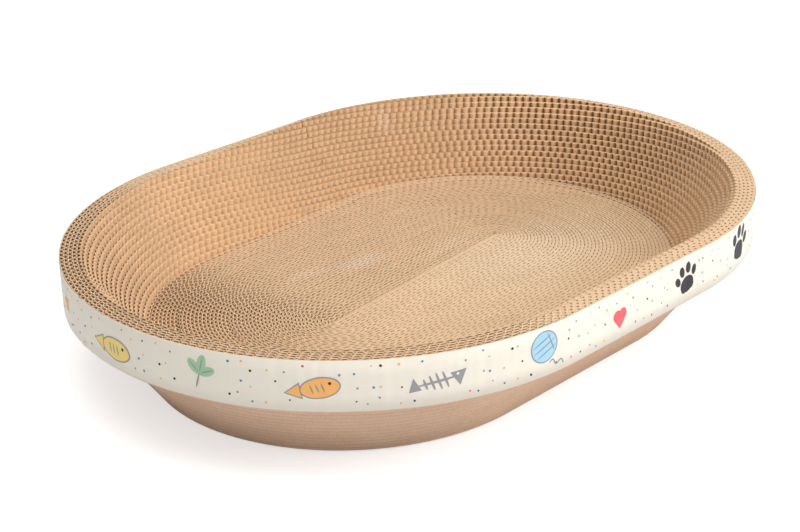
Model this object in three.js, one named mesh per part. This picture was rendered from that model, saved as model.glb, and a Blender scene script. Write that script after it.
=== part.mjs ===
// An oval cat scratcher bed: a strip of single-face corrugated board, wound on edge round a straight core.
// The floor turns lie level, each wall turn climbs one step, and the rim turns lie level again.
// A paper band is glued round the outside of the rim.
// Millimetres, +Z up, +X along the oval, the origin under the middle of the bed where it rests.
import * as THREE from "three";

// The strip
const STRIP_HEIGHT = 35; // the strip stands on its cut edge
const BOARD_THICKNESS = 2.94; // from one turn to the next along the straight sides
const TURN_GAP = 0.45; // left clear between two turns
const BUTT_GAP = 0.45; // left clear where two strip lengths meet end to end

// The winding
const CORE_LENGTH = 196; // the straight length that the winding starts round
const CORE_THICKNESS = 2.4;
const CORE_SKEW = THREE.MathUtils.degToRad(5.5); // the core lies askew to the finished oval
const SIDE_LENGTH = 140; // the straight side that is left after the last turn
const FLOOR_TURNS = 48;
const WALL_TURNS = 15;
const RIM_TURNS = 5;
const STEP_HEIGHT = 3.9; // what each wall turn climbs
const SINGLE_FLOOR_TURNS = 4; // the outer floor turns, which stand apart from the packed inner ones
const LAYER_TURNS = 7; // packed turns between two rounds of the line that winds through them
const LAYER_GAP = 1.2; // the width of that line

// The wall's late side, at the back on the right, where the turns climb further out
const LATE_TURNS = 4.5; // how many turns later the climb starts and ends there
const LATE_DIRECTION = THREE.MathUtils.degToRad(38); // from the middle of the bed
const LATE_SPREAD = THREE.MathUtils.degToRad(85); // to where the climb is on time, either way

// The paper band
const BAND_HEIGHT = 34; // its top edge is flush with the rim
const BAND_THICKNESS = 0.6;
const BAND_RAMP = 15; // where the band comes down off the strip's free end
const BAND_LAP = 25; // where the band lies on its own start

// Facets
const END_STEPS = 12; // round each end of a turn
const CORE_END_STEPS = 6; // round each end of the core strip

// Colours of the board and the paper
const CUT_EDGE_TAN = 0xc7a276;
const FLOOR_TAN = 0xb8936a;
const CORE_BROWN = 0xa57f56;
const RIM_TAN = 0xd2b083;
const BAND_CREAM = 0xf4f0e6;
const BOARD_ROUGHNESS = 0.92;
const PAPER_ROUGHNESS = 0.5;

const FULL_TURN = 2 * Math.PI;
const TOTAL_TURNS = FLOOR_TURNS + WALL_TURNS + RIM_TURNS;
const PACKED_TURNS = FLOOR_TURNS - SINGLE_FLOOR_TURNS;
const BED_HEIGHT = STRIP_HEIGHT + STEP_HEIGHT * WALL_TURNS;

// The stations of one turn, counter-clockwise from the right-hand corner of the back side.
// Each names the end that it lies at, left -1 or right 1, and the angle turned since that corner.
const leftEnd = Array.from({ length: END_STEPS + 1 }, (_, step) => ({
  end: -1,
  angle: (Math.PI * step) / END_STEPS,
}));
const rightEnd = leftEnd.map(({ angle }) => ({ end: 1, angle: angle + Math.PI }));
const seam = { end: 1, angle: 0 };
const STATIONS = [seam, ...leftEnd, ...rightEnd];

// Half of a turn's straight side, which shortens fast round the tight core and hardly at all near the rim
function halfStraight(wound) {
  const ahead = 1 - wound / TOTAL_TURNS;
  return THREE.MathUtils.lerp(SIDE_LENGTH, CORE_LENGTH, ahead * ahead) / 2;
}

// How many turns later the climb starts at a point in plan
function lateTurns(point) {
  const lateSide = new THREE.Vector2(Math.cos(LATE_DIRECTION), Math.sin(LATE_DIRECTION));
  const nearness = LATE_SPREAD - point.angleTo(lateSide);
  return LATE_TURNS * THREE.MathUtils.smoothstep(nearness, 0, LATE_SPREAD);
}

// The height that the strip's lower edge has climbed to at a point in plan, after so many turns
function lift(point, wound) {
  const climbed = wound - FLOOR_TURNS - lateTurns(point);
  return STEP_HEIGHT * THREE.MathUtils.clamp(climbed, 0, WALL_TURNS);
}

// A point in plan: a station after so many turns, moved outwards by an offset. The packed turns lie askew
// like the core that they are wound round, and less and less so further out.
function planPoint({ end, angle }, wound, offset = 0) {
  const radius = BOARD_THICKNESS * wound + offset;
  const x = end * halfStraight(wound) - radius * Math.sin(angle);
  const y = radius * Math.cos(angle);
  const skew = CORE_SKEW * Math.max(1 - wound / PACKED_TURNS, 0);
  return new THREE.Vector2(x, y).rotateAround(new THREE.Vector2(), skew);
}

// A station's point in one turn of the strip.
const turnPoint = (station, turn, offset) =>
  planPoint(station, turn + station.angle / FULL_TURN, offset);

// The stations of a strip length, which stops short of the next length by the butt gap.
function stripStations(turn) {
  const angle = FULL_TURN - BUTT_GAP / (BOARD_THICKNESS * (turn + 1));
  return [...STATIONS.slice(0, -1), { end: 1, angle }];
}

const innerFace = (turn) => stripStations(turn).map((station) => turnPoint(station, turn));
const outerFace = (turn) =>
  stripStations(turn).map((station) => turnPoint(station, turn + 1, -TURN_GAP));

// A closed upright wall through sections that each have an inner and an outer point, a foot and a top.
function wallGeometry(sections) {
  const positions = sections.flatMap(({ inner, outer, foot, top }) => [
    ...[inner.x, inner.y, foot],
    ...[outer.x, outer.y, foot],
    ...[outer.x, outer.y, top],
    ...[inner.x, inner.y, top],
  ]);
  const corners = 4;
  const index = [];
  const quad = (a, b, c, d) => index.push(a, b, c, a, c, d);
  for (let section = 0; section < sections.length - 1; section++) {
    const here = section * corners;
    const ahead = here + corners;
    for (let corner = 0; corner < corners; corner++) {
      const next = (corner + 1) % corners;
      quad(here + corner, ahead + corner, ahead + next, here + next);
    }
  }
  const last = (sections.length - 1) * corners;
  quad(0, 1, 2, 3);
  quad(last + 3, last + 2, last + 1, last);
  const geometry = new THREE.BufferGeometry();
  geometry.setAttribute("position", new THREE.Float32BufferAttribute(positions, 3));
  geometry.setIndex(index);
  geometry.computeVertexNormals();
  return geometry;
}

// One turn of the strip, an open loop that climbs with the winding.
function turnGeometry(turn) {
  const inner = innerFace(turn);
  const outer = outerFace(turn);
  const sections = stripStations(turn).map(({ angle }, i) => {
    const foot = lift(inner[i], turn + angle / FULL_TURN);
    return { inner: inner[i], outer: outer[i], foot, top: foot + STRIP_HEIGHT };
  });
  return wallGeometry(sections);
}

// A flat strip's outline in plan, askew and with round ends.
function flatStrip(path, thickness) {
  const radius = thickness / 2;
  const straight = (CORE_LENGTH - CORE_THICKNESS) / 2;
  const x = straight * Math.cos(CORE_SKEW);
  const y = straight * Math.sin(CORE_SKEW);
  const across = CORE_SKEW + Math.PI / 2;
  path.absarc(x, y, radius, across - Math.PI, across, false);
  path.absarc(-x, -y, radius, across, across + Math.PI, false);
  return path.closePath();
}

const standing = { depth: STRIP_HEIGHT, bevelEnabled: false, curveSegments: CORE_END_STEPS };

function coreStripGeometry() {
  return new THREE.ExtrudeGeometry(flatStrip(new THREE.Shape(), CORE_THICKNESS), standing);
}

// One side of the line that winds through the packed turns, from half a layer out of the core.
function layerSide(offset) {
  const layers = Math.floor(PACKED_TURNS / LAYER_TURNS);
  const round = Array.from({ length: layers }, (_, layer) =>
    STATIONS.slice(0, -1).map(({ end, angle }) => ({ end, angle: angle + FULL_TURN * layer })),
  );
  return round
    .flat()
    .filter(({ angle }) => angle >= Math.PI)
    .map((station) => planPoint(station, (LAYER_TURNS * station.angle) / FULL_TURN, offset));
}

// The packed inner turns of the floor as one solid, stepped at the seam, round the core strip.
function packedFloorGeometry() {
  const beforeSeam = { end: 1, angle: -BUTT_GAP / (BOARD_THICKNESS * PACKED_TURNS) };
  const step = turnPoint(beforeSeam, PACKED_TURNS, -TURN_GAP);
  const outline = new THREE.Shape([step, ...outerFace(PACKED_TURNS - 1)]);
  const line = [...layerSide(0), ...layerSide(LAYER_GAP).reverse()];
  outline.holes.push(flatStrip(new THREE.Path(), CORE_THICKNESS + 2 * TURN_GAP), new THREE.Path(line));
  return new THREE.ExtrudeGeometry(outline, standing);
}

// The band goes once round the last turn, comes down off its free end and laps over its own start.
function bandGeometry() {
  const foot = BED_HEIGHT - BAND_HEIGHT;
  const top = BED_HEIGHT;
  const round = STATIONS.map((station) => ({
    inner: turnPoint(station, TOTAL_TURNS),
    outer: turnPoint(station, TOTAL_TURNS, BAND_THICKNESS),
    foot,
    top,
  }));
  const lapY = turnPoint(seam, TOTAL_TURNS, BAND_THICKNESS + TURN_GAP).y;
  const seamX = turnPoint(seam, TOTAL_TURNS).x;
  const lap = [BAND_RAMP, BAND_RAMP + BAND_LAP].map((along) => ({
    inner: new THREE.Vector2(seamX - along, lapY),
    outer: new THREE.Vector2(seamX - along, lapY + BAND_THICKNESS),
    foot,
    top,
  }));
  return wallGeometry([...round, ...lap]);
}

// The least clear distance from points along one face to the next face outwards.
function leastGap(face, next) {
  const flat = ({ x, y }) => new THREE.Vector3(x, y, 0);
  const corners = face.map(flat);
  const middles = corners.slice(1).map((point, i) => point.clone().lerp(corners[i], 0.5));
  const far = next.map(flat);
  const sides = far.slice(1).map((point, i) => new THREE.Line3(far[i], point));
  const nearest = new THREE.Vector3();
  let least = Infinity;
  for (const point of [...corners, ...middles]) {
    for (const side of sides) {
      least = Math.min(least, side.closestPointToPoint(point, true, nearest).distanceTo(point));
    }
  }
  return least;
}

// The least gap between neighbouring turns, and across the line through the packed turns.
function leastTurnGap() {
  const gaps = [leastGap(layerSide(0), layerSide(LAYER_GAP))];
  for (let turn = PACKED_TURNS - 1; turn < TOTAL_TURNS - 1; turn++) {
    gaps.push(leastGap(outerFace(turn), innerFace(turn + 1)));
  }
  return Math.min(...gaps);
}

const bed = new THREE.Group();

function addPiece(name, geometry, color, roughness = BOARD_ROUGHNESS) {
  const material = new THREE.MeshStandardMaterial({ color, roughness, metalness: 0 });
  const mesh = new THREE.Mesh(geometry, material);
  mesh.name = name;
  bed.add(mesh);
}

// The turns of one part of the winding, each a strip length of its own.
function addTurns(label, first, count, color) {
  const digits = String(count).length;
  for (let i = 0; i < count; i++) {
    const number = String(i + 1).padStart(digits, "0");
    addPiece(`${label}_turn_${number}`, turnGeometry(first + i), color);
  }
}

addPiece("core_strip", coreStripGeometry(), CORE_BROWN);
addPiece("packed_floor_winding", packedFloorGeometry(), FLOOR_TAN);
addTurns("floor", PACKED_TURNS, SINGLE_FLOOR_TURNS, FLOOR_TAN);
addTurns("wall", FLOOR_TURNS, WALL_TURNS, CUT_EDGE_TAN);
addTurns("rim", FLOOR_TURNS + WALL_TURNS, RIM_TURNS, RIM_TAN);
addPiece("printed_band", bandGeometry(), BAND_CREAM, PAPER_ROUGHNESS);

// The origin goes under the middle of the bed.
const middle = new THREE.Box3().setFromObject(bed).getCenter(new THREE.Vector3());
bed.position.set(-middle.x, -middle.y, 0);

console.log(`least gap between turns ${leastTurnGap().toFixed(3)} mm`);

export default bed;
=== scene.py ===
"""An oval cat scratcher bed, wound on edge from single-face corrugated board, with a printed paper band.

Run as a script, it builds the bed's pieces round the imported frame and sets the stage. The Scratcher tab in
the 3D view's sidebar lists the same steps and the sizes and colours behind them.
"""
import bisect
import math
from typing import NamedTuple

import bmesh
import bpy
from bpy.props import FloatProperty, FloatVectorProperty, IntProperty, PointerProperty
from bpy.types import Operator, Panel, PropertyGroup
from mathutils import Matrix, Vector, noise


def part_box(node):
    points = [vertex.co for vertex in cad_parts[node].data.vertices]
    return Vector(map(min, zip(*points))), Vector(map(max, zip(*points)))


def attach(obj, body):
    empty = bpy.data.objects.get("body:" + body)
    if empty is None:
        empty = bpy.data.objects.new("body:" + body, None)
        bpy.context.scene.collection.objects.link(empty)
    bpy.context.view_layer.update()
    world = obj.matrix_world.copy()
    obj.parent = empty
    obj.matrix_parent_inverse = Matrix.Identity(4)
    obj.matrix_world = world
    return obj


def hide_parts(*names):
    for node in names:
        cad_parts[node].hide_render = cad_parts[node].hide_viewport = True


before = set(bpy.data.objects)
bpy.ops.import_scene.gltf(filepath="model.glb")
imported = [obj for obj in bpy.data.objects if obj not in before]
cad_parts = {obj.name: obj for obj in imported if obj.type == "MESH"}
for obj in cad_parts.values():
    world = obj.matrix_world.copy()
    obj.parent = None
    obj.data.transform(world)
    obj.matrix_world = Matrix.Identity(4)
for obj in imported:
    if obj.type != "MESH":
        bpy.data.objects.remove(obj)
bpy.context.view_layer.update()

bl_info = {
    "name": "Oval cat scratcher",
    "version": (1, 0, 0),
    "blender": (4, 5, 0),
    "location": "3D View > Sidebar > Scratcher",
    "description": "Winds a cat scratcher bed from corrugated board and wraps its rim in a printed band",
    "category": "Object",
}

FULL_TURN = 2 * math.pi
BODY = "root"
# Painted shade: this attribute is 1 for plain board with random mottling, and falls towards the hole colour
# where holes, grooves and recesses lie in shade; on cut edges it also carries painted light.
TONE_AND_SHADE = "tone"  # how light a point of the board is, 1 for plain board and 0 deep in a hole
# Paler places are rubbed wear, and the widest one is painted light that lifts the floor where the wall's
# shade falls.
SCUFF_AND_LIGHT = "scuff"  # how far a point of the board is rubbed pale, 0 to 1


def setting(name, description, default, **kind):
    return FloatProperty(name=name, description=description, default=default, **kind)


def length(name, description, default):
    return setting(name, description, default, min=0.0, unit="LENGTH", precision=5)


def angle(name, description, default):
    return setting(name, description, math.radians(default), subtype="ANGLE")


def share(name, description, default):
    return setting(name, description, default, min=0.0, soft_max=1.0, subtype="FACTOR")


def count(name, description, default):
    return IntProperty(name=name, description=description, default=default, min=1)


def colour(name, description, default):
    return FloatVectorProperty(
        name=name, description=description, default=default, size=3, min=0.0, max=1.0, subtype="COLOR"
    )


class BoardSizes(PropertyGroup):
    """The corrugated strip: a flat liner with a fluted paper glued to it"""

    strip_height: length("Strip height", "Height of the strip that stands on its cut edge", 0.035)
    thickness: length("Board thickness", "From one turn to the next", 0.00294)
    paper: length("Paper thickness", "Thickness of the liner and of the fluted paper", 0.00038)
    flute: length("Flute length", "From one flute's crest to the next", 0.00635)
    flute_sway: share("Flute sway", "How far flutes wander, in flutes", 0.07)
    pinch: setting("Pinch", "1 for flutes as wide as the grooves between them, more for wider", 3.3)
    wall_pinch: setting("Wall pinch", "The same on the wall, where flutes are rounder", 1.8)
    # Painted shade in the bottoms of the grooves.
    groove_shade: share("Groove shade", "How much darker the bottoms of the grooves are", 0.8)
    # Painted shade inside the holes, stronger where the turns are loose.
    hole_shade: share("Hole shade", "How much darker the papers are inside the holes", 0.38)
    loose_shade: share("Loose hole shade", "The same where the turns are loose", 0.68)
    flare: setting("Flare", "How many times thicker the papers are where the blade left them", 1.4)
    # Painted shade on the liner under the next turn's foot.
    recess_shade: share("Recess shade", "How much darker the liner is just under the next turn's foot", 0.28)
    uneven: length("Uneven edge", "How far the cut edges rise and dip", 0.00014)
    ragged: length("Ragged edge", "How far the cut edges are pushed along the strip", 0.00022)
    edge_zone: length("Edge zone", "Depth below the cut edge that leans or is pushed over", 0.0007)


class WindingSizes(PropertyGroup):
    """The spiral that the strip is wound in"""

    core_length: length("Core length", "Straight length that the winding starts round", 0.196)
    core_thickness: length("Core thickness", "Thickness of the folded core strip", 0.001)
    core_skew: angle("Core skew", "How far the core lies askew to the finished oval", 5.5)
    side_length: length("Side length", "Straight side that is left after the last turn", 0.140)
    packed_turns: count("Packed turns", "Inner turns of the floor", 44)
    floor_turns: count("Floor turns", "All turns of the floor", 48)
    wall_turns: count("Wall turns", "Turns that climb a step each", 15)
    rim_turns: count("Rim turns", "Level turns at the top", 5)
    step_height: length("Step height", "What each wall turn climbs", 0.0039)
    late_turns: setting("Late turns", "How many turns later the climb starts on the late side", 4.5)
    late_direction: angle("Late side", "Direction of the late side from the middle of the bed", 38)
    late_spread: angle("Late spread", "From the late side to where the climb is on time", 85)
    butt_gap: length("Butt gap", "Left clear where two strip lengths meet", 0.0001)
    floor_lean: length("Floor lean", "How far the floor's cut edges lean towards the core", 0.0006)
    floor_slope: angle("Floor slope", "How far each floor turn's cut edge slopes down outwards", 6)
    loose_start: length("Loose start", "How far left of the middle the turns begin to be loose", 0.06)
    loose_length: length("Loose length", "From there to where they are fully loose", 0.10)
    pressed_end: angle("Pressed end", "Over which the strip's free end is pressed flat", 70)


class BandSizes(PropertyGroup):
    """The printed paper band round the rim"""

    height: length("Band height", "Height of the band, flush with the rim's top", 0.034)
    paper: length("Band thickness", "Thickness of the band's paper", 0.0003)
    stand_off: length("Stand-off", "From the last turn to the middle of the paper", 0.00028)
    ripple: length("Ripple", "How far the flutes behind show through the paper", 0.00045)
    ramp: length("Ramp", "Where the band comes down off the strip's free end", 0.015)
    lap: length("Lap", "Where the band lies on its own start", 0.025)


class PrintSizes(PropertyGroup):
    """The pattern that is printed on the band"""

    ink: length("Ink thickness", "How far one layer of ink stands proud", 0.00005)
    dot: length("Dot size", "Diameter of a confetti dot", 0.0016)
    dot_spacing: length("Dot spacing", "From one confetti dot to the next", 0.0098)
    motif: length("Motif size", "Height of a motif", 0.032)
    motif_spacing: length("Motif spacing", "From one motif to the next", 0.072)


class Colours(PropertyGroup):
    """The colours of the board, the paper and the inks"""

    liner: colour("Liner", "Smooth outer face of the board", (0.82, 0.575, 0.415))
    fluting: colour("Fluting", "Fluted inner face of the board", (0.88, 0.60, 0.36))
    cut_edge: colour("Cut edge", "Cut edges of both papers", (0.88, 0.615, 0.385))
    # Painted shade: the dark colour that the board is mixed towards in holes, grooves and recesses, standing
    # in for their shade.
    hole: colour("Holes", "Deep in the holes and the grooves", (0.18, 0.068, 0.018))
    # Pale colour of rubbed board, also used for the patch of painted light on the floor.
    scuffed: colour("Scuffed board", "Where the board is rubbed pale", (0.86, 0.73, 0.58))
    paper: colour("Band paper", "The band's printed ground", (0.82, 0.765, 0.66))
    black: colour("Black ink", "Paw prints and dots", (0.022, 0.020, 0.025))
    yellow: colour("Yellow ink", "Fish and stars", (0.90, 0.68, 0.22))
    blue: colour("Blue ink", "Yarn balls and bowls", (0.36, 0.62, 0.80))
    teal: colour("Teal ink", "Dots", (0.03, 0.30, 0.46))
    red: colour("Red ink", "Hearts and dots", (0.80, 0.12, 0.14))
    green: colour("Green ink", "Leaves", (0.36, 0.58, 0.36))
    orange: colour("Orange ink", "Stars and dots", (0.92, 0.46, 0.14))
    grey: colour("Grey ink", "Lines and dots", (0.30, 0.29, 0.31))


class StageSizes(PropertyGroup):
    """The camera, the lamps and the floor"""

    azimuth: angle("Azimuth", "Where the camera stands round the bed", -45.74)
    elevation: angle("Elevation", "How high the camera stands", 23.5)
    roll: angle("Roll", "How far the camera is tilted sideways", -1.31)
    distance: length("Distance", "From the camera to its target", 1.376)
    target_x: setting("Target X", "Where the camera looks on the floor", 0.0636, unit="LENGTH")
    target_y: setting("Target Y", "Where the camera looks on the floor", 0.0921, unit="LENGTH")
    lens: setting("Lens", "Focal length in millimetres", 76.77)
    shift_x: setting("Shift X", "Frame shift to the right", 0.0125)
    shift_y: setting("Shift Y", "Frame shift upwards", -0.0074)
    key_power: setting("Key power", "Wide lamp at the right", 22, unit="POWER")
    top_power: setting("Top power", "Wide lamp overhead", 14.5, unit="POWER")
    fill_power: setting("Fill power", "Wide lamp beside the camera", 2.6, unit="POWER")
    sky: setting("Sky", "Even light from all round", 0.40)
    floor_glow: share("Floor glow", "How much whiter the camera sees the floor", 0.55)
    ground: colour("Floor", "The pale floor under the bed", (0.90, 0.90, 0.90))


class ScratcherSettings(PropertyGroup):
    """All sizes and colours of the scratcher"""

    board: PointerProperty(type=BoardSizes)
    winding: PointerProperty(type=WindingSizes)
    band: PointerProperty(type=BandSizes)
    print_sizes: PointerProperty(type=PrintSizes)
    colours: PointerProperty(type=Colours)
    stage: PointerProperty(type=StageSizes)


# The winding


class Winding:
    """The spiral of the wound strip, in plan and in height."""

    right_end = 3.6  # half sides from the middle to where the right end's look is full
    right_blend = 1.5  # half sides over which it comes in

    def __init__(self, settings):
        self.board = settings.board
        self.sizes = settings.winding
        self.turns = self.sizes.floor_turns + self.sizes.wall_turns + self.sizes.rim_turns
        low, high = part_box("core_strip")
        self.middle = (Vector(low).xy + Vector(high).xy) / 2

    def half_straight(self, wound):
        """Half of a turn's straight side, which shortens fast round the tight core."""
        ahead = 1 - wound / self.turns
        spare = self.sizes.core_length - self.sizes.side_length
        return (self.sizes.side_length + spare * ahead * ahead) / 2

    def late(self, place):
        """How many turns later the climb starts at a place in plan."""
        sizes = self.sizes
        late_side = Vector((math.cos(sizes.late_direction), math.sin(sizes.late_direction)))
        off = (place - self.middle).angle(late_side, 0.0)
        return sizes.late_turns * smooth_step(1 - off / sizes.late_spread)

    def lift(self, place, wound):
        """How far the strip's lower edge has climbed at a place in plan, after so many turns."""
        climbed = wound - self.sizes.floor_turns - self.late(place)
        return self.sizes.step_height * min(max(climbed, 0), self.sizes.wall_turns)

    def rise(self, place, wound):
        """How much of a full step a turn stands above the turn inside it, 0 to 1."""
        return (self.lift(place, wound) - self.lift(place, wound - 1)) / self.sizes.step_height

    def loose(self, place):
        """How loosely the turns lie at a place in plan, 0 to 1. They are loose towards the left end."""
        return smooth_step((self.middle.x - place.x - self.sizes.loose_start) / self.sizes.loose_length)

    def leftward(self, place):
        """How far left a place in plan is, 0 at the right end's wall to 1 at the left end."""
        reach = self.half_straight(self.turns)
        return smooth_step((self.middle.x + self.right_end * reach - place.x) / (self.right_blend * reach))

    def rightward(self, place):
        """How far right along the straight sides a place in plan is, 0 to 1."""
        return smooth_step(0.5 + (place.x - self.middle.x) / (2 * self.half_straight(self.turns)))

    def pressed(self, turned):
        """How much of its thickness the strip's free end has lost at an angle of the last turn."""
        flat = 1 - 2 * self.board.paper / self.board.thickness
        return flat * smooth_step(1 - (FULL_TURN - turned) / self.sizes.pressed_end)

    def plan(self, end, turned, wound):
        """A point in plan, from the end of a side, -1 left to 1 right, and the angle on from the back."""
        radius = self.board.thickness * wound
        x = end * self.half_straight(wound) - radius * math.sin(turned)
        y = radius * math.cos(turned)
        skew = self.sizes.core_skew * max(1 - wound / self.sizes.packed_turns, 0)
        return Vector((x, y)) @ Matrix.Rotation(-skew, 2) + self.middle

    def sides(self, wound):
        """The lengths of a turn's back, left end, front and right end."""
        arc = math.pi * self.board.thickness
        back = 2 * self.half_straight(wound)
        front = 2 * self.half_straight(wound + 0.5)
        return back, arc * (wound + 0.25), front, arc * (wound + 0.75)


class Turn:
    """One turn of the strip, with the strip length that is wound before it."""

    def __init__(self, winding, wound, start=0.0, measured_at=0.5):
        self.winding = winding
        self.wound = wound
        self.start = start
        self.sides = winding.sides(wound + measured_at)
        self.length = sum(self.sides)

    def station(self, along):
        """The end and the angle at a length along the turn."""
        back, left, front, right = self.sides
        if along < back:
            return 1 - 2 * along / back, 0.0
        along -= back
        if along < left:
            return -1.0, math.pi * along / left
        along -= left
        if along < front:
            return 2 * along / front - 1, math.pi
        along -= front
        return 1.0, math.pi * (1 + along / right)

    def place(self, along, depth):
        """A point in plan at a depth out from the turn's inner face, and the turns wound up to it."""
        end, turned = self.station(along)
        wound = self.wound + turned / FULL_TURN
        inner = self.winding.plan(end, turned, wound)
        outer = self.winding.plan(end, turned, wound + 1)
        return inner.lerp(outer, depth / self.winding.board.thickness), wound


class Strip:
    """The whole strip: its turns from the core outwards, and where its flutes fall.

    At the back on the right the flutes of two turns line up, and the next two turns are half a flute on.
    """

    matched = 0.22  # share of the right end that is still ahead where the flutes are matched
    stray = 0.24  # how far the match can miss, in flutes

    def __init__(self, winding):
        self.winding = winding
        self.turns = []
        self.lengths = []
        self.flutes = []
        start = 0.0
        for number in range(winding.turns):
            turn = Turn(winding, number, start)
            start += turn.length
            self.turns.append(turn)
            self.match(number, start - self.matched * turn.sides[-1])

    def match(self, number, wound_length):
        """Counts the flutes up to a length, so that they fall in step with the turn inside."""
        counted = 0.0
        if self.flutes:
            wound_on = (wound_length - self.lengths[-1]) / self.winding.board.flute
            missed = self.stray * (noise.cell(Vector((number * 2.7, 0.5, 0.5))) - 0.5)
            shift = 0.5 * (number % 2) + missed
            counted = self.flutes[-1] + round(wound_on - shift) + shift
        self.lengths.append(wound_length)
        self.flutes.append(counted)

    def flutes_at(self, wound_length):
        return interpolate(wound_length, self.lengths, self.flutes)

    def length_at(self, flutes):
        return interpolate(flutes, self.flutes, self.lengths)


def interpolate(value, across, up):
    """A value read off a line through points, which runs on straight past its ends."""
    after = min(max(bisect.bisect(across, value), 1), len(across) - 1)
    part = (value - across[after - 1]) / (across[after] - across[after - 1])
    return up[after - 1] + part * (up[after] - up[after - 1])


def between(bounds, part):
    return bounds[0] + (bounds[1] - bounds[0]) * part


def smooth_step(value):
    value = min(max(value, 0.0), 1.0)
    return value * value * (3 - 2 * value)


# Sheets of paper

LINER, FLUTING, LINER_EDGE, FLUTING_EDGE = range(4)


def faces_of(verts):
    return list({face for vert in verts for face in vert.link_faces})


def thicken(bm, faces, thickness):
    """Sweeps flat faces up into a closed slab. Returns the points that this adds."""
    swept = bmesh.ops.extrude_face_region(bm, geom=faces)["geom"]
    added = [item for item in swept if isinstance(item, bmesh.types.BMVert)]
    bmesh.ops.translate(bm, verts=added, vec=(0, 0, thickness))
    return added


def paper_slab(bm, along, columns, rows, paper, face_slot, edge_slot):
    """A flat closed sheet: its length along X, its height from 0 to 1 along Y and its paper along Z."""
    flat = Matrix.Diagonal((along, 1, 1, 1)) @ Matrix.Translation((0.5, 0.5, -paper / 2))
    sheet = bmesh.ops.create_grid(bm, x_segments=columns, y_segments=rows, size=0.5, matrix=flat)
    near = sheet["verts"]
    verts = near + thicken(bm, faces_of(near), paper)
    faces = faces_of(verts)
    bmesh.ops.recalc_face_normals(bm, faces=faces)
    for face in faces:
        face.normal_update()
        face.smooth = abs(face.normal.z) > 0.5
        face.material_index = face_slot if face.smooth else edge_slot
    return verts


# Slackened turns at the floor's left end: turn, angle and half-width in degrees, share of thickness
SLACK_TURNS = (
    (40, 62, 34, 0.38),
    (27, 72, 40, 0.38),
    (17, 78, 40, 0.26),
    (10, 80, 40, 0.22),
)

# Where the board is rubbed pale, and the widest patch is painted light: place in plan, radius along X and Y,
# and strength
SCUFFS_AND_LIGHT_PATCHES = (
    (Vector((-0.011, 0.051)), 0.032, 0.016, 0.75),
    (Vector((-0.056, 0.063)), 0.030, 0.014, 0.45),
    (Vector((0.060, 0.020)), 0.060, 0.020, 0.30),
    # Painted light: this wide patch lifts the floor where the wall's shade falls on it.
    (Vector((0.085, -0.035)), 0.140, 0.080, 0.40),
    (Vector((0.1425, 0.1733)), 0.010, 0.010, 0.60),
)


def slack(turn, turned):
    """How much thinner a slackened turn is at an angle."""
    for number, middle, half, depth in SLACK_TURNS:
        if number == turn:
            return depth * smooth_step(1 - abs(math.degrees(turned) - middle) / half)
    return 0.0


def scuffed(place):
    """How far the board is made paler at a place in plan: rubbed wear, and one wide patch of painted light.
    """
    rubbed = 0.0
    for middle, along, across, strength in SCUFFS_AND_LIGHT_PATCHES:
        off = place - middle
        near = 1 - math.hypot(off.x / along, off.y / across)
        rubbed = max(rubbed, strength * smooth_step(near))
    return rubbed


def thinned(turn, turned):
    """How much thinner a turn is at an angle, where it has slackened or its free end is pressed flat."""
    if turn.wound == turn.winding.turns - 1:
        return turn.winding.pressed(turned)
    return slack(turn.wound, turned)


# Rows of a wound sheet, from its foot to its cut edge
FOOT, RECESS, NECK, EDGE = range(4)

# How board is roughened, and how much painted shade and painted light it gets
ROUGHNESS = 45  # dips and rises of a cut edge to the metre
MOTTLING = 30  # cloudy patches to the metre
SETTLED = 0.4  # how far whole turns stand uneven, against a single turn's edge
# Painted shade: how high it reaches on the liner under the next turn's foot.
UNDER_FOOT = 0.8  # how high the liner is shaded under the next turn's foot, in steps
# Painted light: the wall's cut edges are lightened at the right end.
PAINTED_LIGHT_RIGHT = 0.14  # how much lighter the wall's cut edges are at the right end
# Painted shade: the wall's cut edges are darkened over a groove, where it lies in shade.
EDGE_GROOVE_SHADE_LEFT, EDGE_GROOVE_SHADE_LOOSE, EDGE_GROOVE_SHADE_RIGHT = 0.25, 0.5, 0.6  # how dark the wall's cut edges are over a groove
# Painted shade in the grooves of the fluted faces: how narrow it is.
GROOVE_SPREAD = (1.1, 4.0)  # how narrow the shade in a groove is, at the right and at the left end
ROD_WIDTH = 0.6  # how far flutes are widened against the grooves between them
SWAY_LENGTH = 0.05  # over which flutes wander
LINER_COLUMNS, FLUTE_COLUMNS = 3, 6  # columns of faces to a flute


class Cut(NamedTuple):
    """How a part of the winding looks."""

    pinch: float  # how wide its flutes are
    lean: float  # how far its cut edges lean towards the core
    slope: float  # how far they slope down outwards
    # The tones are painted shade: lower values darken cut edges that face up into more light than the fluted
    # faces beside them, most at the back on the right.
    tones: tuple  # how light they are: level, climbing at the left, and climbing at the back on the right
    closed: tuple  # how far the hollows behind the flutes are closed, at the right and at the left end
    clogged: float  # how far the grooves are filled at the cut edge
    # Painted shade: how strongly the grooves' painted shade is applied.
    grooves: tuple  # how dark the grooves are, at the right and at the left end
    loose: float  # how loose it gets


def edge_tone(winding, place, turned, leftward, cut, shown, swing):
    """How light a cut edge is painted. On climbing turns it gets painted shade at the back on the right and
    over a groove, and painted light at the right end.
    """
    rightward = winding.rightward(place)
    backward = smooth_step(2 * math.cos(turned) - 1)
    level, left, back = cut.tones
    climbing = between((left, between((level, back), backward)), rightward)
    edge_groove_shade = between((EDGE_GROOVE_SHADE_LEFT, EDGE_GROOVE_SHADE_LOOSE), winding.loose(place))
    edge_groove_shade = between((edge_groove_shade, EDGE_GROOVE_SHADE_RIGHT), rightward)
    light = between((level, climbing), shown)
    light *= 1 - edge_groove_shade * shown * leftward * swing * swing
    return light * (1 + PAINTED_LIGHT_RIGHT * shown * (1 - leftward))


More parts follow.
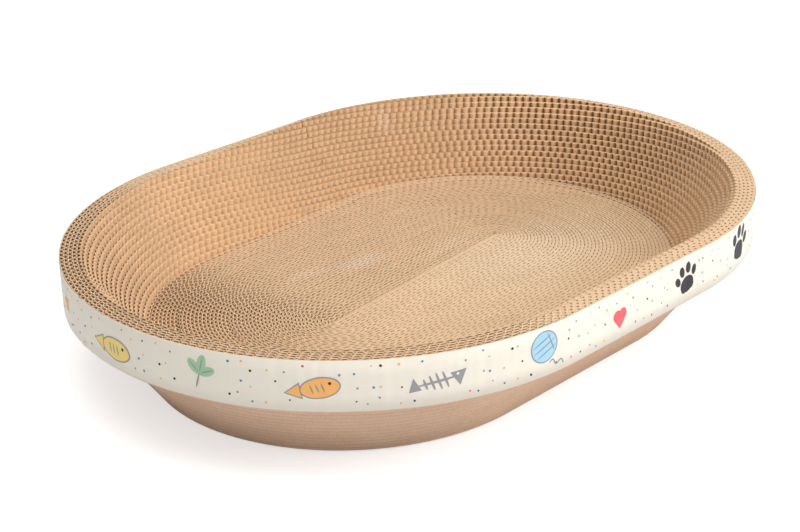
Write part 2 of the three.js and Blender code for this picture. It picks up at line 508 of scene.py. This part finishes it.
def wind_sheet(bm, turn, verts, wave, cut, rows):
    """Moves a flat sheet to its place in the winding, along its own wave, and gives its points random
    mottling, painted shade and painted light.
    """
    winding = turn.winding
    board = winding.board
    step = winding.sizes.step_height
    tones = bm.verts.layers.float[TONE_AND_SHADE]
    scuff_and_light_layer = bm.verts.layers.float[SCUFF_AND_LIGHT]
    settle = SETTLED * noise.cell(Vector((turn.wound * 1.37, 0.5, 0.5))) * board.uneven
    for vert in verts:
        across, up, through = vert.co
        row = rows[round(up * (len(rows) - 1))]
        outer = through > 0
        along, depth, slope, swing = wave(across)
        fluted = RECESS not in rows
        steep = math.hypot(1, slope)
        if row == EDGE:
            through *= board.flare
        along -= through * slope / steep
        depth += through / steep
        flat = turn.place(along, depth)[0]
        loose = cut.loose * winding.loose(flat)
        leftward = winding.leftward(flat)
        fall = 0.0
        if row == EDGE:
            if fluted and outer:
                closed = between(cut.closed, leftward) * (1 - loose)
                depth += closed * max(board.thickness - board.paper - depth, 0.0)
            elif fluted:
                depth *= 1 - cut.clogged * (1 - loose)
            fall = math.tan(cut.slope) * (depth - board.thickness / 2)
            grain = Vector(((turn.start + along) / board.flute, turn.wound * 3.1, through / board.paper))
            along += board.ragged * noise.noise(grain)
            depth -= cut.lean
        turned = turn.station(along)[1]
        place, wound = turn.place(along, depth * (1 - thinned(turn, turned)))
        foot = winding.lift(place, wound)
        rough = noise.noise(Vector((place.x * ROUGHNESS, place.y * ROUGHNESS, wound * 0.71)))
        top = foot + board.strip_height + settle + board.uneven * rough
        height = (foot, foot + UNDER_FOOT * step, top - board.edge_zone, top - fall)[row]
        vert.co = place.x, place.y, height
        mottle = noise.noise(Vector((place.x * MOTTLING, place.y * MOTTLING, wound * 0.3)))
        light = 0.97 + 0.06 * mottle
        shown = winding.rise(place, wound)
        # Painted shade and painted light on the cut edges.
        if row == EDGE:
            light *= edge_tone(winding, place, turned, leftward, cut, shown, swing)
        # Painted shade in the bottoms of the grooves of the fluted faces.
        elif fluted:
            shade = board.groove_shade * between(cut.grooves, leftward)
            light *= 1 - shade * swing ** between(GROOVE_SPREAD, leftward)
        # Painted shade on the liner just under the next turn's foot.
        if row == RECESS:
            light *= 1 - board.recess_shade
        # Painted shade inside the holes, just under the cut edge, stronger where the turns are loose.
        if row == NECK:
            inside = 1 - shown if fluted and not outer else 1.0
            light *= 1 - between((board.hole_shade, board.loose_shade), loose) * inside
        vert[tones] = light
        vert[scuff_and_light_layer] = scuffed(place)


def add_turn(bm, strip, number, cut):
    """The liner and the fluted paper of one turn."""
    turn = strip.turns[number]
    board = turn.winding.board
    along = turn.length - turn.winding.sizes.butt_gap
    first = strip.flutes_at(turn.start)
    flutes = strip.flutes_at(turn.start + along) - first
    rod = board.paper / 2
    groove = board.thickness - 1.5 * board.paper - rod

    def liner(across):
        swing = (1 + math.cos(FULL_TURN * strip.flutes_at(turn.start + across))) / 2
        return across, board.thickness - board.paper / 2, 0.0, swing

    def flute(across):
        counted = first + across
        counted -= ROD_WIDTH * math.sin(FULL_TURN * counted) / FULL_TURN
        wound_length = strip.length_at(counted)
        sway = board.flute_sway * noise.noise(Vector((wound_length / SWAY_LENGTH, 0.5, 0.5)))
        swing = (1 + math.cos(FULL_TURN * counted)) / 2
        pinched = swing ** (cut.pinch - 1)
        slope = -groove * cut.pinch * pinched * math.sin(FULL_TURN * counted) * math.pi / board.flute
        return wound_length - turn.start + sway * board.flute, rod + groove * pinched * swing, slope, swing

    rows = (FOOT, RECESS, NECK, EDGE)
    columns = LINER_COLUMNS * math.ceil(flutes)
    verts = paper_slab(bm, along, columns, len(rows) - 1, board.paper, LINER, LINER_EDGE)
    wind_sheet(bm, turn, verts, liner, cut, rows)
    rows = (FOOT, NECK, EDGE)
    columns = FLUTE_COLUMNS * math.ceil(flutes)
    verts = paper_slab(bm, flutes, columns, len(rows) - 1, board.paper, FLUTING, FLUTING_EDGE)
    wind_sheet(bm, turn, verts, flute, cut, rows)


def board_mesh():
    """An empty mesh with the layers that the board's finishes read."""
    bm = bmesh.new()
    bm.verts.layers.float.new(TONE_AND_SHADE)
    bm.verts.layers.float.new(SCUFF_AND_LIGHT)
    return bm


def mesh_of(bm, name):
    mesh = bpy.data.meshes.new(name)
    bm.to_mesh(mesh)
    bm.free()
    return mesh


def add_object(name, data):
    added = bpy.data.objects.new(name, data)
    bpy.context.scene.collection.objects.link(added)
    return added


def add_piece(bm, name, node, finishes):
    """Makes an object from a mesh, to stand for a node of the frame."""
    mesh = mesh_of(bm, name)
    for finish in finishes:
        mesh.materials.append(finish)
    piece = add_object(name, mesh)
    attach(piece, BODY)
    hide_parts(node)


# Finishes


class Finish:
    """A node material in the making, on Object coordinates."""

    def __init__(self, name, roughness):
        self.material = bpy.data.materials.new(name)
        self.material.use_nodes = True
        self.tree = self.material.node_tree
        self.shader = self.tree.nodes["Principled BSDF"]
        self.give("Roughness", roughness)
        self.places = self.add("ShaderNodeTexCoord").outputs["Object"]

    def add(self, kind, **values):
        node = self.tree.nodes.new(kind)
        for name, value in values.items():
            setattr(node, name, value)
        return node

    def feed(self, socket, value):
        """Links an output to a socket, or sets the socket's own value."""
        if isinstance(value, bpy.types.NodeSocket):
            self.tree.links.new(value, socket)
        else:
            socket.default_value = value

    def grain(self, scale, detail=3.0, stretch=(1, 1, 1)):
        """Noise with a number of features to the metre."""
        mapping = self.add("ShaderNodeMapping")
        self.feed(mapping.inputs["Vector"], self.places)
        self.feed(mapping.inputs["Scale"], stretch)
        texture = self.add("ShaderNodeTexNoise")
        self.feed(texture.inputs["Vector"], mapping.outputs["Vector"])
        self.feed(texture.inputs["Scale"], scale)
        self.feed(texture.inputs["Detail"], detail)
        return texture.outputs["Fac"]

    def spread(self, value, low, high, to_low=0.0, to_high=1.0):
        """A value stretched from one range to another."""
        node = self.add("ShaderNodeMapRange")
        self.feed(node.inputs["Value"], value)
        for name, bound in zip(("From Min", "From Max", "To Min", "To Max"), (low, high, to_low, to_high)):
            self.feed(node.inputs[name], bound)
        return node.outputs["Result"]

    def mix(self, part, first, second, blend="MIX"):
        node = self.add("ShaderNodeMix", data_type="RGBA", blend_type=blend)
        self.feed(node.inputs["Factor"], part)
        for socket, value in zip(("A", "B"), (first, second)):
            picked = next(i for i in node.inputs if i.name == socket and i.type == "RGBA")
            self.feed(picked, value if isinstance(value, bpy.types.NodeSocket) else (*value, 1.0))
        return next(o for o in node.outputs if o.type == "RGBA")

    def attribute(self, name):
        return self.add("ShaderNodeAttribute", attribute_name=name).outputs["Fac"]

    def times(self, first, second):
        node = self.add("ShaderNodeMath", operation="MULTIPLY")
        self.feed(node.inputs[0], first)
        self.feed(node.inputs[1], second)
        return node.outputs["Value"]

    def give(self, name, value):
        """Feeds the shader's input of that name."""
        self.feed(self.shader.inputs[name], value)

    def bump(self, height, depth, strength=1.0):
        node = self.add("ShaderNodeBump")
        self.feed(node.inputs["Height"], height)
        self.feed(node.inputs["Distance"], depth)
        self.feed(node.inputs["Strength"], strength)
        self.give("Normal", node.outputs["Normal"])


def shaded(colour, factor):
    return tuple(min(part * factor, 1.0) for part in colour)


def kraft_finish(name, colour, colours, contrast, grain_depth):
    """Kraft paper: fibres, cloudy mottling, random mottling and painted shade carried by the board's mesh,
    and rubbed places, one of them painted light.
    """
    finish = Finish(name, roughness=0.9)
    fibres = finish.grain(900, detail=4.0)
    clouds = finish.grain(70, detail=2.0)
    dark, light = shaded(colour, 1 - contrast), shaded(colour, 1 + contrast)
    paper = finish.mix(finish.spread(fibres, 0.3, 0.7), dark, light)
    paper = finish.mix(finish.spread(clouds, 0.35, 0.65, 0.0, 0.35), paper, shaded(colour, 0.92))
    # Painted shade: the colour falls towards the hole colour where the attribute marks shade.
    paper = finish.mix(finish.attribute(TONE_AND_SHADE), tuple(colours.hole), paper)
    # Rubbed wear, and one wide patch of painted light, mixed towards the pale colour.
    worn_and_lit = finish.times(finish.attribute(SCUFF_AND_LIGHT), finish.spread(fibres, 0.35, 0.6))
    finish.give("Base Color", finish.mix(worn_and_lit, paper, tuple(colours.scuffed)))
    finish.bump(finish.grain(2200, detail=2.0), grain_depth, 0.6)
    finish.give("Specular IOR Level", 0.05)
    return finish.material


def board_finishes(colours):
    """The finishes of a board's faces and cut edges, made once."""
    names = ("kraft liner", "kraft fluting", "kraft liner edge", "kraft fluting edge")
    if names[0] not in bpy.data.materials:
        edge = tuple(colours.cut_edge)
        kraft_finish(names[LINER], tuple(colours.liner), colours, 0.10, 0.00006)
        kraft_finish(names[FLUTING], tuple(colours.fluting), colours, 0.12, 0.00006)
        kraft_finish(names[LINER_EDGE], edge, colours, 0.16, 0.00012)
        kraft_finish(names[FLUTING_EDGE], shaded(edge, 0.94), colours, 0.18, 0.00012)
    return [bpy.data.materials[name] for name in names]


def paper_finish(name, colour):
    """Smooth printed paper with a faint tooth."""
    finish = Finish(name, roughness=0.48)
    tooth = finish.grain(1400, detail=3.0)
    clouds = finish.grain(26, detail=2.0)
    paper = finish.mix(finish.spread(tooth, 0.3, 0.7), shaded(colour, 0.975), shaded(colour, 1.015))
    clouded = finish.mix(finish.spread(clouds, 0.4, 0.65, 0.0, 0.5), paper, shaded(colour, 0.96))
    finish.give("Base Color", clouded)
    finish.bump(tooth, 0.00002, 0.4)
    return finish.material


def ink_finish(name, colour):
    """Printing ink that lets a little of the paper's tooth through."""
    finish = Finish(name, roughness=0.6)
    finish.give("Specular IOR Level", 0.2)
    tooth = finish.grain(1800, detail=3.0)
    paler = tuple(part + (0.9 - part) * 0.03 for part in colour)
    finish.give("Base Color", finish.mix(finish.spread(tooth, 0.35, 0.7), tuple(colour), paler))
    finish.bump(tooth, 0.00002, 0.3)
    return finish.material


# The band


class Band:
    """The path of the paper band round the last turn."""

    crease_length = 0.09  # over which the ripples come and go

    def __init__(self, settings):
        self.sizes = settings.band
        self.winding = Winding(settings)
        self.turn = Turn(self.winding, self.winding.turns, measured_at=0.0)
        self.length = self.turn.length + self.sizes.ramp + self.sizes.lap
        self.board = settings.board
        climb = settings.winding.wall_turns * settings.winding.step_height
        self.top = climb + self.board.strip_height

    def place(self, along, out):
        """A point in plan at a distance out from the last turn."""
        over = along - self.turn.length
        along = min(along, self.turn.length)
        pressed = self.winding.pressed(self.turn.station(along)[1])
        point, _ = self.turn.place(along, out - self.board.thickness * pressed)
        if over > 0:
            drop = self.board.thickness * (1 - pressed) - 1.3 * self.sizes.paper
            point += Vector((-over, -drop * smooth_step(over / self.sizes.ramp)))
        return point

    def out(self, along):
        """How far the middle of the paper stands out, with the flutes behind showing through."""
        ripple = 1 + noise.noise(Vector((along / self.board.flute, 0.0, 4.0)))
        creased = smooth_step(0.5 + 2 * noise.noise(Vector((along / self.crease_length, 2.0, 0.0))))
        return self.sizes.stand_off + self.sizes.ripple * ripple * (0.3 + 0.7 * creased)


def bend_to_band(band, verts, lift):
    """Moves flat points, length along X, height along Y and proud along Z, to their place on the band."""
    for vert in verts:
        along, height, proud = vert.co
        place = band.place(along, band.out(along) + lift + proud)
        vert.co = place.x, place.y, height


def fitted(bm, step):
    """Cuts flat shapes across, so that they can follow the band's bend."""
    low = min(vert.co.x for vert in bm.verts)
    high = max(vert.co.x for vert in bm.verts)
    cuts = int((high - low) / step)
    for cut in range(1, cuts + 1):
        here = low + (high - low) * cut / (cuts + 1)
        geom = bm.verts[:] + bm.edges[:] + bm.faces[:]
        bmesh.ops.bisect_plane(bm, geom=geom, plane_co=(here, 0, 0), plane_no=(1, 0, 0))


# Motifs, drawn flat and one unit high: each shape has a place, two radii, an ink and a layer

INKS = ("black", "yellow", "blue", "red", "green", "orange", "grey", "teal", "paper")
BLACK, YELLOW, BLUE, RED, GREEN, ORANGE, GREY, TEAL, PAPER = range(9)


def oval(bm, x, y, wide, high, ink, layer, tilt=0.0, corners=24):
    """A flat oval of ink. Returns its corners, in order round it."""
    place = Matrix.Translation((x, y, layer))
    shape = place @ Matrix.Rotation(math.radians(tilt), 4, "Z") @ Matrix.Diagonal((wide, high, 1, 1))
    made = bmesh.ops.create_circle(bm, cap_ends=True, segments=corners, radius=1.0, matrix=shape)
    for face in faces_of(made["verts"]):
        face.material_index = ink
    return made["verts"]


def draw_paw(bm, ink):
    oval(bm, 0.0, -0.17, 0.27, 0.22, ink, 0)
    for side, layer in ((-1, 1), (1, 2)):
        oval(bm, side * 0.13, -0.25, 0.13, 0.12, ink, layer)
        oval(bm, side * 0.34, 0.07, 0.095, 0.14, ink, 0, tilt=side * -22)
        oval(bm, side * 0.13, 0.25, 0.10, 0.155, ink, 0, tilt=side * -8)


def draw_fish(bm, ink):
    oval(bm, -0.45, 0.0, 0.23, 0.25, GREY, 0, corners=3, tilt=90)
    oval(bm, -0.45, 0.0, 0.18, 0.20, ink, 1, corners=3, tilt=90)
    oval(bm, 0.08, 0.0, 0.44, 0.25, GREY, 2)
    oval(bm, 0.08, 0.0, 0.41, 0.22, ink, 3)
    oval(bm, 0.30, 0.07, 0.035, 0.035, BLACK, 4, corners=12)
    for x in (-0.10, 0.02, 0.14):
        oval(bm, x, 0.0, 0.018, 0.11, GREY, 4, tilt=10, corners=12)


def draw_yarn(bm, ink):
    oval(bm, 0.0, 0.0, 0.36, 0.36, GREY, 0, corners=32)
    oval(bm, 0.0, 0.0, 0.33, 0.33, ink, 1, corners=32)
    for tilt, shift, layer in ((40, -0.14, 2), (40, 0.0, 2), (40, 0.14, 2), (-50, 0.19, 3)):
        turned = math.radians(tilt + 90)
        x, y = shift * math.cos(turned), shift * math.sin(turned)
        reach = 0.92 * math.sqrt(0.33 * 0.33 - shift * shift)
        oval(bm, x, y, reach, 0.016, GREY, layer, tilt=tilt, corners=16)
    for step in range(14):
        x, y = 0.26 + 0.03 * step, -0.33 + 0.05 * math.sin(step * 0.75)
        oval(bm, x, y, 0.03, 0.016, GREY, step % 2, tilt=50 * math.cos(step * 0.75), corners=8)


def draw_heart(bm, ink):
    for layer, x in enumerate((-0.15, 0.15)):
        oval(bm, x, 0.14, 0.21, 0.21, ink, layer, corners=32)
    for vert in oval(bm, 0.0, 0.0, 1.0, 1.0, ink, 2, corners=4):
        tip, flank = vert.co.y < -0.5, abs(vert.co.x) > 0.5
        vert.co.x = math.copysign(0.30, vert.co.x) if flank else 0.0
        vert.co.y = -0.38 if tip else -0.01 if flank else 0.29


def draw_star(bm, ink):
    for corner, vert in enumerate(oval(bm, 0.0, 0.0, 0.34, 0.34, ink, 0, corners=10)):
        if corner % 2:
            vert.co.x *= 0.5
            vert.co.y *= 0.5


def draw_bowl(bm, ink):
    oval(bm, 0.0, 0.10, 0.36, 0.17, ORANGE, 0)
    for x, y in ((-0.18, 0.20), (-0.02, 0.26), (0.16, 0.21), (0.05, 0.15)):
        oval(bm, x, y, 0.055, 0.05, YELLOW, 1, corners=12)
    for vert in oval(bm, 0.0, -0.14, 0.56, 0.56, ink, 2, tilt=45, corners=4):
        upper = vert.co.y > -0.14
        vert.co.x *= 1.15 if upper else 0.85
        vert.co.y = 0.12 if upper else -0.36
    oval(bm, 0.0, 0.12, 0.50, 0.035, GREY, 3, corners=20)
    oval(bm, 0.0, -0.12, 0.10, 0.10, PAPER, 3, corners=16)


def draw_bones(bm, ink):
    oval(bm, -0.02, 0.0, 0.46, 0.028, ink, 0, corners=12)
    oval(bm, 0.42, 0.0, 0.20, 0.22, ink, 1, tilt=180, corners=3)
    oval(bm, 0.40, 0.05, 0.03, 0.03, PAPER, 2, corners=10)
    oval(bm, -0.50, 0.0, 0.15, 0.20, ink, 1, corners=3)
    for x, reach in ((-0.28, 0.13), (-0.14, 0.18), (0.0, 0.21), (0.14, 0.20)):
        oval(bm, x, 0.0, 0.026, reach, ink, 1, tilt=12, corners=12)


def draw_leaf(bm, ink):
    for layer, (tilt, reach) in enumerate(((35, 0.34), (90, 0.40), (145, 0.34))):
        turned = math.radians(tilt)
        x, y = 0.5 * reach * math.cos(turned), 0.5 * reach * math.sin(turned) - 0.1
        oval(bm, x, y, 0.55 * reach, 0.10, ink, layer, tilt=tilt, corners=16)
        oval(bm, x, y, 0.45 * reach, 0.012, GREY, 3, tilt=tilt, corners=8)
    oval(bm, 0.0, -0.26, 0.018, 0.17, GREY, 4, corners=8)


MOTIFS = (
    (draw_paw, BLACK, 1.0),
    (draw_fish, YELLOW, 1.0),
    (draw_heart, RED, 0.6),
    (draw_bowl, BLUE, 0.95),
    (draw_bones, GREY, 0.95),
    (draw_yarn, RED, 0.9),
    (draw_leaf, GREEN, 1.0),
    (draw_paw, BLACK, 0.85),
    (draw_star, ORANGE, 0.75),
    (draw_yarn, BLUE, 0.95),
    (draw_bones, BLACK, 0.9),
    (draw_fish, ORANGE, 0.9),
)


def thicken_ink(bm, ink):
    """Gives flat shapes the thickness of a layer of ink."""
    thicken(bm, bm.faces[:], ink)
    bmesh.ops.recalc_face_normals(bm, faces=bm.faces[:])


# Operators


def settings_of(context):
    return context.scene.scratcher


class SCRATCHER_OT_core(Operator):
    """Fold the core strip that the winding starts round"""

    bl_idname = "scratcher.core"
    bl_label = "Core strip"

    def execute(self, context):
        settings = settings_of(context)
        winding = Winding(settings)
        sizes, board = settings.winding, settings.board
        bm = board_mesh()
        tones = bm.verts.layers.float[TONE_AND_SHADE]
        half = sizes.core_length / 2
        paper = sizes.core_thickness / 2
        for ply in (-1, 1):
            verts = paper_slab(bm, sizes.core_length, 40, 2, 0.9 * paper, LINER, LINER_EDGE)
            for vert in verts:
                along, row, through = vert.co
                gap = winding.plan(0.0, math.pi, 0.25) - winding.middle
                wave = 0.0001 * noise.noise(Vector((along * 60, ply, 0.0)))
                flat = Vector((along - half, ply * paper / 2 + through + wave + gap.y))
                place = flat @ Matrix.Rotation(-sizes.core_skew, 2) + winding.middle
                vert.co = place.x, place.y, row * board.strip_height
                vert[tones] = 0.95
        add_piece(bm, "core_fold", "core_strip", board_finishes(settings.colours))
        return {"FINISHED"}


def floor_cut(settings):
    """The floor's cut edges lean and slope, and the blade has filled their grooves."""
    return Cut(
        pinch=settings.board.pinch, lean=settings.winding.floor_lean, slope=settings.winding.floor_slope,
        tones=(0.96, 0.96, 0.96), closed=(0.95, 0.75), clogged=0.85, grooves=(0.2, 0.4), loose=1.0,
    )


def wall_cut(pinch, tones, closed, loose):
    """The cut edges of the wall and the rim are level, and their grooves are open."""
    return Cut(
        pinch=pinch, lean=0.0, slope=0.0,
        tones=tones, closed=(closed, 0.95), clogged=0.0, grooves=(1.15, 0.17), loose=loose,
    )


def add_turns(settings, label, first, number, cut):
    """One piece for each turn of a part of the winding."""
    strip = Strip(Winding(settings))
    finishes = board_finishes(settings.colours)
    digits = len(str(number))
    for index in range(number):
        mark = str(index + 1).zfill(digits)
        bm = board_mesh()
        add_turn(bm, strip, first + index, cut)
        add_piece(bm, f"{label}_board_{mark}", f"{label}_turn_{mark}", finishes)


class SCRATCHER_OT_packed_floor(Operator):
    """Wind the inner turns of the floor, a few turns to a piece"""

    bl_idname = "scratcher.packed_floor"
    bl_label = "Packed floor"

    turns_to_a_piece: IntProperty(
        name="Turns to a piece", description="How many turns one object holds", default=6, min=1
    )

    def execute(self, context):
        settings = settings_of(context)
        sizes = settings.winding
        strip = Strip(Winding(settings))
        finishes = board_finishes(settings.colours)
        for first in range(0, sizes.packed_turns, self.turns_to_a_piece):
            bm = board_mesh()
            for number in range(first, min(first + self.turns_to_a_piece, sizes.packed_turns)):
                add_turn(bm, strip, number, floor_cut(settings))
            add_piece(bm, f"packed_board_{first + 1:02}", "packed_floor_winding", finishes)
        return {"FINISHED"}


class SCRATCHER_OT_outer_floor(Operator):
    """Wind the outer turns of the floor"""

    bl_idname = "scratcher.outer_floor"
    bl_label = "Outer floor turns"

    def execute(self, context):
        settings = settings_of(context)
        sizes = settings.winding
        number = sizes.floor_turns - sizes.packed_turns
        add_turns(settings, "floor", sizes.packed_turns, number, floor_cut(settings))
        return {"FINISHED"}


class SCRATCHER_OT_wall(Operator):
    """Wind the turns that climb and make the wall"""

    bl_idname = "scratcher.wall"
    bl_label = "Wall turns"

    def execute(self, context):
        settings = settings_of(context)
        sizes = settings.winding
        cut = wall_cut(settings.board.wall_pinch, tones=(0.88, 1.0, 0.58), closed=0.25, loose=0.7)
        add_turns(settings, "wall", sizes.floor_turns, sizes.wall_turns, cut)
        return {"FINISHED"}


class SCRATCHER_OT_rim(Operator):
    """Wind the level turns at the top"""

    bl_idname = "scratcher.rim"
    bl_label = "Rim turns"

    def execute(self, context):
        settings = settings_of(context)
        sizes = settings.winding
        first = sizes.floor_turns + sizes.wall_turns
        cut = wall_cut(settings.board.pinch, tones=(0.96, 0.96, 0.60), closed=0.9, loose=1.0)
        add_turns(settings, "rim", first, sizes.rim_turns, cut)
        return {"FINISHED"}


class SCRATCHER_OT_band(Operator):
    """Wrap the paper band round the rim"""

    bl_idname = "scratcher.band"
    bl_label = "Paper band"

    def execute(self, context):
        settings = settings_of(context)
        band = Band(settings)
        bm = bmesh.new()
        columns = FLUTE_COLUMNS * math.ceil(band.length / band.board.flute)
        verts = paper_slab(bm, band.length, columns, 3, band.sizes.paper, 0, 0)
        foot = band.top - band.sizes.height
        for vert in verts:
            vert.co.y = foot + vert.co.y * band.sizes.height
        bend_to_band(band, verts, 0.0)
        paper = paper_finish("band paper", tuple(settings.colours.paper))
        add_piece(bm, "paper_band", "printed_band", [paper])
        return {"FINISHED"}


class SCRATCHER_OT_print(Operator):
    """Print the confetti and the motifs on the band"""

    bl_idname = "scratcher.print_band"
    bl_label = "Band print"

    stride = 5  # places from one motif to the next in the list, so that like ones stand apart
    sway = 0.0035  # how far motifs stand above or below the band's middle
    tilt = 16  # how far they are turned, in degrees
    clearing = 0.56  # radius that is kept clear of dots, in motif sizes
    stray = (0.36, 0.32)  # how far a dot strays along and up, in dot spacings
    dot_inks = (BLACK, ORANGE, TEAL, GREY, BLACK, RED, TEAL, ORANGE)

    def execute(self, context):
        settings = settings_of(context)
        band = Band(settings)
        sizes, colours = settings.print_sizes, settings.colours
        finishes = [ink_finish(f"{ink} ink", tuple(getattr(colours, ink))) for ink in INKS]
        proud = band.sizes.paper / 2 + sizes.ink
        middle = band.top - band.sizes.height / 2

        clear = band.sizes.ramp + band.sizes.lap
        motifs = bmesh.new()
        number = round(band.turn.length / sizes.motif_spacing)
        centres = []
        for index in range(number):
            draw, ink, scale = MOTIFS[(index * self.stride) % len(MOTIFS)]
            bm = bmesh.new()
            draw(bm, ink)
            along = clear + band.turn.length * (index + 0.5) / number
            height = middle + self.sway * math.sin(index * 2.3)
            tilt = math.radians(self.tilt * math.sin(index * 1.9))
            size = sizes.motif * scale
            centres.append((along, height, self.clearing * size))
            spot = Matrix.Translation((along, height, 0)) @ Matrix.Rotation(tilt, 4, "Z")
            bm.transform(spot @ Matrix.Diagonal((size, size, sizes.ink, 1)))
            fitted(bm, band.board.flute / FLUTE_COLUMNS)
            thicken_ink(bm, sizes.ink)
            bend_to_band(band, bm.verts, proud)
            scrap = mesh_of(bm, "motif")
            motifs.from_mesh(scrap)
            bpy.data.meshes.remove(scrap)
        add_piece(motifs, "band_motifs", "printed_band", finishes)

        dots = bmesh.new()
        columns = round(band.turn.length / sizes.dot_spacing)
        rows = round(band.sizes.height / sizes.dot_spacing)
        for column in range(columns):
            for row in range(rows):
                seed = Vector((column * 1.7 + 0.5, row * 2.3 + 0.5, 0.5))
                jitter = noise.cell_vector(seed)
                along = clear + (column + 0.5 + self.stray[0] * (2 * jitter.x - 1)) * sizes.dot_spacing
                share_up = (row + 0.5 + self.stray[1] * (2 * jitter.y - 1)) / rows
                height = band.top - band.sizes.height * (0.04 + 0.92 * share_up)
                if any(math.hypot(along - x, height - y) < reach for x, y, reach in centres):
                    continue
                size = sizes.dot * (0.35 + 0.25 * jitter.z)
                ink = self.dot_inks[(column * 3 + row * 5) % len(self.dot_inks)]
                oval(dots, along, height, size, size, ink, 0.0, corners=8)
        thicken_ink(dots, sizes.ink)
        bend_to_band(band, dots.verts, proud)
        add_piece(dots, "band_confetti", "printed_band", finishes)
        return {"FINISHED"}


def seen_rays(tree):
    """1 for rays that the camera sees straight, in a gloss or through glass, and 0 for the others."""
    rays = tree.nodes.new("ShaderNodeLightPath").outputs
    seen = rays["Is Camera Ray"]
    for kind in ("Is Glossy Ray", "Is Transmission Ray"):
        either = tree.nodes.new("ShaderNodeMath")
        either.operation = "MAXIMUM"
        tree.links.new(seen, either.inputs[0])
        tree.links.new(rays[kind], either.inputs[1])
        seen = either.outputs["Value"]
    return seen


class SCRATCHER_OT_stage(Operator):
    """Set the floor, the lamps, the sky and the camera"""

    bl_idname = "scratcher.stage"
    bl_label = "Stage"

    floor_radius = 12.0
    glow_from, glow_full = 0.7, 2.0  # distances from the bed where the floor starts to pale and is white
    lamps = (
        ("key_lamp", "key_power", 1.3, (0.70, -1.50, 1.05)),
        ("top_lamp", "top_power", 1.6, (-0.40, -0.30, 1.90)),
        ("fill_lamp", "fill_power", 1.0, (-1.10, -1.10, 0.70)),
    )

    def execute(self, context):
        scene = context.scene
        sizes = settings_of(context).stage
        scene.view_settings.view_transform = "Standard"
        self.lay_floor(sizes)
        self.hang_lamps(sizes)
        self.light_sky(scene, sizes)
        self.set_camera(scene, sizes)
        return {"FINISHED"}

    def lay_floor(self, sizes):
        bm = bmesh.new()
        bmesh.ops.create_circle(bm, cap_ends=True, segments=96, radius=self.floor_radius)
        bmesh.ops.recalc_face_normals(bm, faces=bm.faces[:])
        mesh = mesh_of(bm, "pale_floor")
        finish = Finish("pale floor", roughness=0.9)
        tooth = finish.grain(12, detail=2.0)
        ground = tuple(sizes.ground)
        toothed = finish.mix(finish.spread(tooth, 0.3, 0.7), shaded(ground, 0.995), shaded(ground, 1.005))
        finish.give("Base Color", toothed)
        finish.give("Emission Color", (1, 1, 1, 1))
        away = finish.add("ShaderNodeVectorMath", operation="LENGTH")
        finish.feed(away.inputs[0], finish.places)
        paling = finish.spread(away.outputs["Value"], self.glow_from, self.glow_full, sizes.floor_glow, 1.0)
        finish.give("Emission Strength", finish.times(seen_rays(finish.tree), paling))
        mesh.materials.append(finish.material)
        floor = add_object("pale_floor", mesh)

    def hang_lamps(self, sizes):
        for name, power, size, place in self.lamps:
            lamp = bpy.data.lights.new(name, "AREA")
            lamp.shape = "DISK"
            lamp.size = size
            lamp.energy = getattr(sizes, power)
            holder = add_object(name, lamp)
            holder.location = Vector(place)
            holder.rotation_euler = (-holder.location).to_track_quat("-Z", "Y").to_euler()

    def light_sky(self, scene, sizes):
        world = bpy.data.worlds.new("studio")
        world.use_nodes = True
        tree = world.node_tree
        backdrop = tree.nodes["Background"]
        strength = tree.nodes.new("ShaderNodeMapRange")
        tree.links.new(seen_rays(tree), strength.inputs["Value"])
        strength.inputs["To Min"].default_value = sizes.sky
        strength.inputs["To Max"].default_value = 1.0
        tree.links.new(strength.outputs["Result"], backdrop.inputs["Strength"])
        backdrop.inputs["Color"].default_value = (1, 1, 1, 1)
        scene.world = world

    def set_camera(self, scene, sizes):
        lens = bpy.data.cameras.new("photo_camera")
        lens.lens = sizes.lens
        lens.shift_x = sizes.shift_x
        lens.shift_y = sizes.shift_y
        level = math.cos(sizes.elevation)
        back = Vector((
            math.sin(sizes.azimuth) * level,
            -math.cos(sizes.azimuth) * level,
            math.sin(sizes.elevation),
        ))
        upright = (-back).to_track_quat("-Z", "Y").to_matrix().to_4x4()
        target = Vector((sizes.target_x, sizes.target_y, 0.0))
        camera = add_object("photo_camera", lens)
        tilt = Matrix.Rotation(sizes.roll, 4, "Z")
        camera.matrix_world = Matrix.Translation(target + sizes.distance * back) @ upright @ tilt
        scene.camera = camera


STEPS = (
    SCRATCHER_OT_core,
    SCRATCHER_OT_packed_floor,
    SCRATCHER_OT_outer_floor,
    SCRATCHER_OT_wall,
    SCRATCHER_OT_rim,
    SCRATCHER_OT_band,
    SCRATCHER_OT_print,
    SCRATCHER_OT_stage,
)


class SCRATCHER_PT_sidebar(Panel):
    """Lists the steps, the sizes and the colours of the scratcher"""

    bl_idname = "SCRATCHER_PT_sidebar"
    bl_label = "Cat scratcher"
    bl_space_type = "VIEW_3D"
    bl_region_type = "UI"
    bl_category = "Scratcher"

    def draw(self, context):
        layout = self.layout
        for step in STEPS:
            layout.operator(step.bl_idname)
        settings = settings_of(context)
        for group in settings.bl_rna.properties:
            if group.type != "POINTER" or group.identifier == "rna_type":
                continue
            box = layout.box()
            box.label(text=group.fixed_type.description)
            values = getattr(settings, group.identifier)
            for value in values.bl_rna.properties:
                if value.identifier not in {"rna_type", "name"}:
                    box.prop(values, value.identifier)


GROUPS = (BoardSizes, WindingSizes, BandSizes, PrintSizes, Colours, StageSizes, ScratcherSettings)


def register():
    for cls in (*GROUPS, *STEPS, SCRATCHER_PT_sidebar):
        bpy.utils.register_class(cls)
    bpy.types.Scene.scratcher = PointerProperty(type=ScratcherSettings)


def unregister():
    del bpy.types.Scene.scratcher
    for cls in reversed((*GROUPS, *STEPS, SCRATCHER_PT_sidebar)):
        bpy.utils.unregister_class(cls)


def main():
    register()
    for step in STEPS:
        group, name = step.bl_idname.split(".")
        getattr(getattr(bpy.ops, group), name)()


if __name__ == "__main__":
    main()
